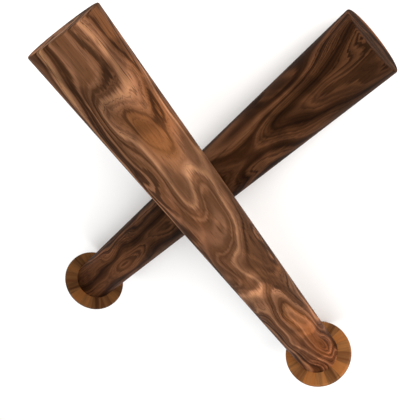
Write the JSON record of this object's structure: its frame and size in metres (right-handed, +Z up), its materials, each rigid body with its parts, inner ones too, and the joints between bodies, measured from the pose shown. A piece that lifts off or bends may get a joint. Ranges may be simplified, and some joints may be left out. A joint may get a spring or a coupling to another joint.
{
  "type": "claves",
  "caption": "Round dark hardwood claves with thin wedge-built flanges, lying crossed; the upper one lifts off and strikes the one lying flat.",
  "frame": {"origin": "middle of the pair's outer box, on the surface it lies on", "axes": "+Z up; +X along the lower clave as seen from above, from its flange to its plain end; the upper clave heads from its flange, 68.4 degrees anticlockwise of +X, over the lower one"},
  "size_m": [0.201, 0.1954, 0.0624],
  "materials": {
    "lower_shaft_wood": "satin, dark brown figured rosewood",
    "upper_shaft_wood": "satin, mid brown figured rosewood with dark bands",
    "orange_wedge": "satin, orange brown",
    "tan_wedge": "satin, pinkish tan",
    "red_brown_wedge": "satin, reddish brown",
    "dark_wedge": "satin, dark brown"
  },
  "bodies": {
    "lower_clave": {"lower_shaft": "lower_shaft_wood", "lower_flange_wedge_01": "tan_wedge", "lower_flange_wedge_02": "red_brown_wedge", "lower_flange_wedge_03": "dark_wedge", "lower_flange_wedge_04": "orange_wedge", "lower_flange_wedge_05": "tan_wedge", "lower_flange_wedge_06": "dark_wedge", "lower_flange_wedge_07": "red_brown_wedge", "lower_flange_wedge_08": "tan_wedge", "lower_flange_wedge_09": "red_brown_wedge", "lower_flange_wedge_10": "orange_wedge", "lower_flange_wedge_11": "dark_wedge", "lower_flange_wedge_12": "tan_wedge", "lower_flange_wedge_13": "red_brown_wedge", "lower_flange_wedge_14": "orange_wedge", "lower_flange_wedge_15": "tan_wedge", "lower_flange_wedge_16": "dark_wedge"},
    "upper_clave": {"upper_shaft": "upper_shaft_wood", "upper_flange_wedge_01": "orange_wedge", "upper_flange_wedge_02": "tan_wedge", "upper_flange_wedge_03": "red_brown_wedge", "upper_flange_wedge_04": "orange_wedge", "upper_flange_wedge_05": "tan_wedge", "upper_flange_wedge_06": "dark_wedge", "upper_flange_wedge_07": "orange_wedge", "upper_flange_wedge_08": "red_brown_wedge", "upper_flange_wedge_09": "tan_wedge", "upper_flange_wedge_10": "orange_wedge", "upper_flange_wedge_11": "dark_wedge", "upper_flange_wedge_12": "tan_wedge", "upper_flange_wedge_13": "red_brown_wedge", "upper_flange_wedge_14": "orange_wedge", "upper_flange_wedge_15": "tan_wedge", "upper_flange_wedge_16": "red_brown_wedge"}
  },
  "joints": [
    {"name": "lift", "type": "slide", "parent": "lower_clave", "child": "upper_clave", "axis": [0, 0, 1], "range_m": [0, 0.1]}
  ]
}
